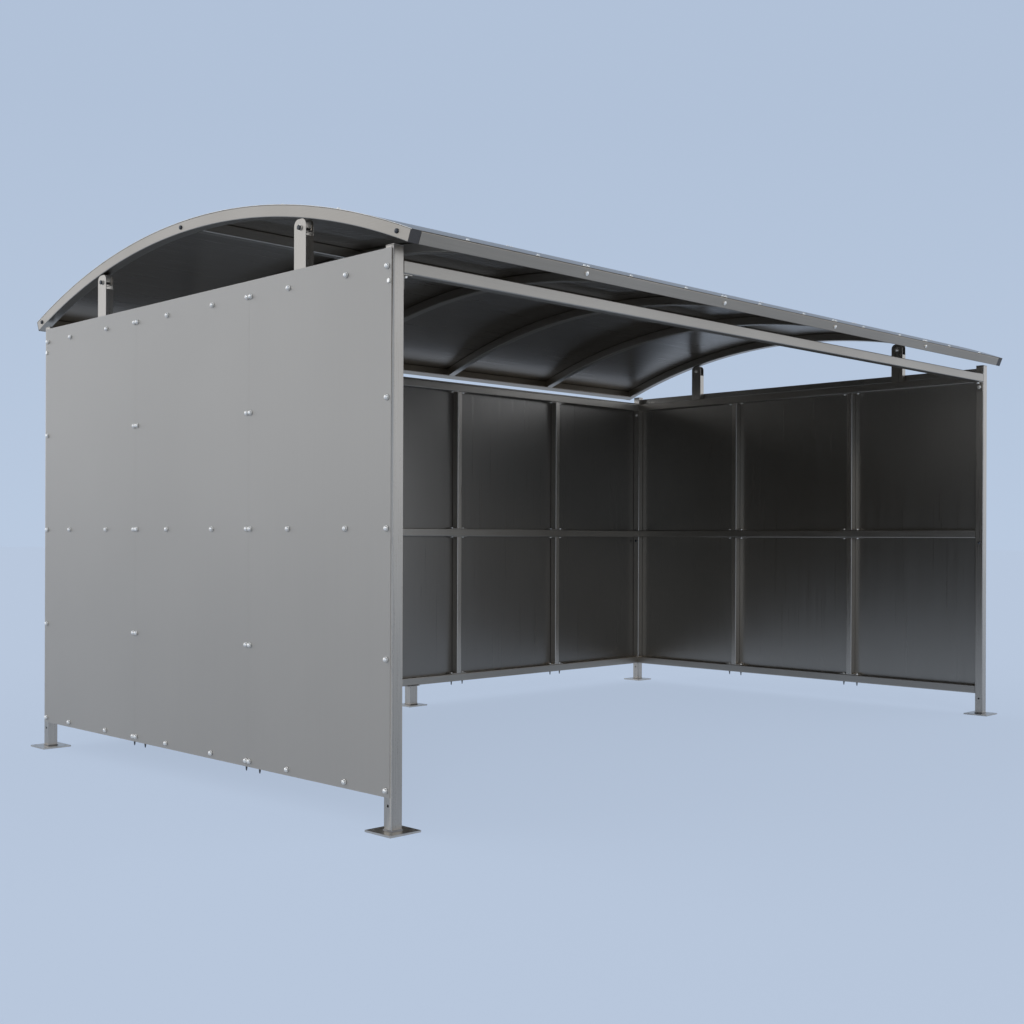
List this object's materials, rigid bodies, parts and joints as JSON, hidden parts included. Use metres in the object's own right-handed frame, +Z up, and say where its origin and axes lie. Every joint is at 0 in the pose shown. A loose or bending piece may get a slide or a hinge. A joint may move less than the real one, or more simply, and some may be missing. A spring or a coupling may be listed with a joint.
{
  "type": "bin shelter",
  "caption": "free-standing steel bin shelter, three sheet-clad walls on a square-tube frame, open front and a barrel-vaulted roof raised on short stub posts",
  "frame": {"origin": "centre of the footprint, on the ground", "axes": "+X along the open front to the right, +Y to the back wall, +Z up"},
  "size_m": [4.95, 3.0518, 2.5319],
  "materials": {
    "frame_steel": "satin square tube, slightly warm grey",
    "wall_sheet": "satin sheet with faint vertical streaks",
    "roof_sheet": "smooth satin sheet",
    "fasteners": "bright plated bolts and screws",
    "black_plastic": "moulded plastic"
  },
  "bodies": {
    "root": {"post_front_left": "frame_steel", "post_front_right": "frame_steel", "post_back_left": "frame_steel", "post_back_right": "frame_steel", "middle_leg": "frame_steel", "base_plates": "frame_steel", "post_caps": "frame_steel", "front_beam": "frame_steel", "beam_brackets": "frame_steel", "left_rail_bottom": "frame_steel", "left_rail_middle": "frame_steel", "left_rail_top": "frame_steel", "right_rail_bottom": "frame_steel", "right_rail_middle": "frame_steel", "right_rail_top": "frame_steel", "back_rail_bottom": "frame_steel", "back_rail_middle": "frame_steel", "back_rail_top": "frame_steel", "left_uprights": "frame_steel", "right_uprights": "frame_steel", "back_uprights_lower": "frame_steel", "back_uprights_upper": "frame_steel", "stub_front_left": "frame_steel", "stub_front_right": "frame_steel", "stub_back_left": "frame_steel", "stub_back_right": "frame_steel", "end_arch_left": "frame_steel", "end_arch_right": "frame_steel", "rib_1": "frame_steel", "rib_2": "frame_steel", "rib_3": "frame_steel", "rib_4": "frame_steel", "ridge_purlin": "frame_steel", "front_eave_rail": "frame_steel", "back_eave_rail": "frame_steel", "left_sheets": "wall_sheet", "right_sheets": "wall_sheet", "back_sheets": "wall_sheet", "roof_sheet_1": "roof_sheet", "roof_sheet_2": "roof_sheet", "roof_sheet_3": "roof_sheet", "roof_sheet_4": "roof_sheet", "roof_sheet_5": "roof_sheet", "arch_end_plugs": "black_plastic"}
  },
  "joints": []
}
